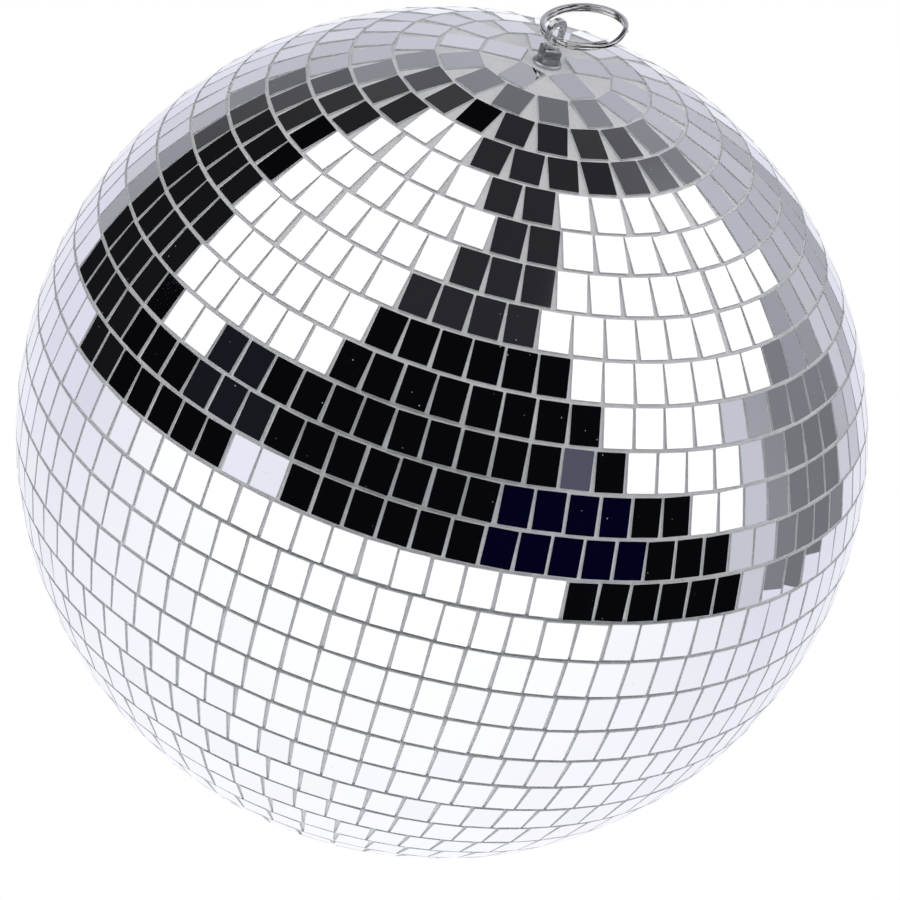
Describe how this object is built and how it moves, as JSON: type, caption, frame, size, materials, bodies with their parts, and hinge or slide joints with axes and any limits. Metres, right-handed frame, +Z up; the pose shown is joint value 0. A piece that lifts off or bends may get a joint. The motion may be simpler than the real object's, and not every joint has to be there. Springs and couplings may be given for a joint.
{
  "type": "mirror ball",
  "caption": "Mirror ball covered in rows of small flat glass tiles on a hollow two-part core, with a hanger eye and a loose split ring at the top.",
  "frame": {"origin": "on the ball's axis in the hanger eye's slot, at the middle of the split ring's wire", "axes": "+Z up along the ball's axis, -Y towards the front"},
  "size_m": [0.2036, 0.2036, 0.2147],
  "materials": {
    "mirror_tile": "silvered flat glass, polished face, cut edges",
    "core": "silver-painted moulded plastic",
    "plated_steel": "bright nickel plate with light wear",
    "inner_steel": "zinc-plated fasteners",
    "ring_steel": "bright nickel-plated flat spring wire"
  },
  "bodies": {
    "ball": {"tile_row_upper_01": "mirror_tile", "tile_row_upper_02": "mirror_tile", "tile_row_upper_03": "mirror_tile", "tile_row_upper_04": "mirror_tile", "tile_row_upper_05": "mirror_tile", "tile_row_upper_06": "mirror_tile", "tile_row_upper_07": "mirror_tile", "tile_row_upper_08": "mirror_tile", "tile_row_upper_09": "mirror_tile", "tile_row_upper_10": "mirror_tile", "tile_row_upper_11": "mirror_tile", "tile_row_upper_12": "mirror_tile", "tile_row_upper_13": "mirror_tile", "tile_row_upper_14": "mirror_tile", "tile_row_upper_15": "mirror_tile", "tile_row_lower_01": "mirror_tile", "tile_row_lower_02": "mirror_tile", "tile_row_lower_03": "mirror_tile", "tile_row_lower_04": "mirror_tile", "tile_row_lower_05": "mirror_tile", "tile_row_lower_06": "mirror_tile", "tile_row_lower_07": "mirror_tile", "tile_row_lower_08": "mirror_tile", "tile_row_lower_09": "mirror_tile", "tile_row_lower_10": "mirror_tile", "tile_row_lower_11": "mirror_tile", "tile_row_lower_12": "mirror_tile", "tile_row_lower_13": "mirror_tile", "tile_row_lower_14": "mirror_tile", "tile_row_lower_15": "mirror_tile", "bottom_pole_tile": "mirror_tile", "core_upper_shell": "core", "core_lower_shell": "core", "outer_washer": "plated_steel", "square_collar": "plated_steel", "hanger_eye": "plated_steel", "load_washer": "inner_steel", "lock_washer": "inner_steel", "hanger_nut": "inner_steel"},
    "ring": {"split_ring": "ring_steel"}
  },
  "joints": [
    {"name": "ring_swing", "type": "hinge", "parent": "ball", "child": "ring", "pos_m": [0, 0, 0], "axis": [0.7628, -0.6332, 0.1312], "range_deg": [-28, 185]}
  ]
}
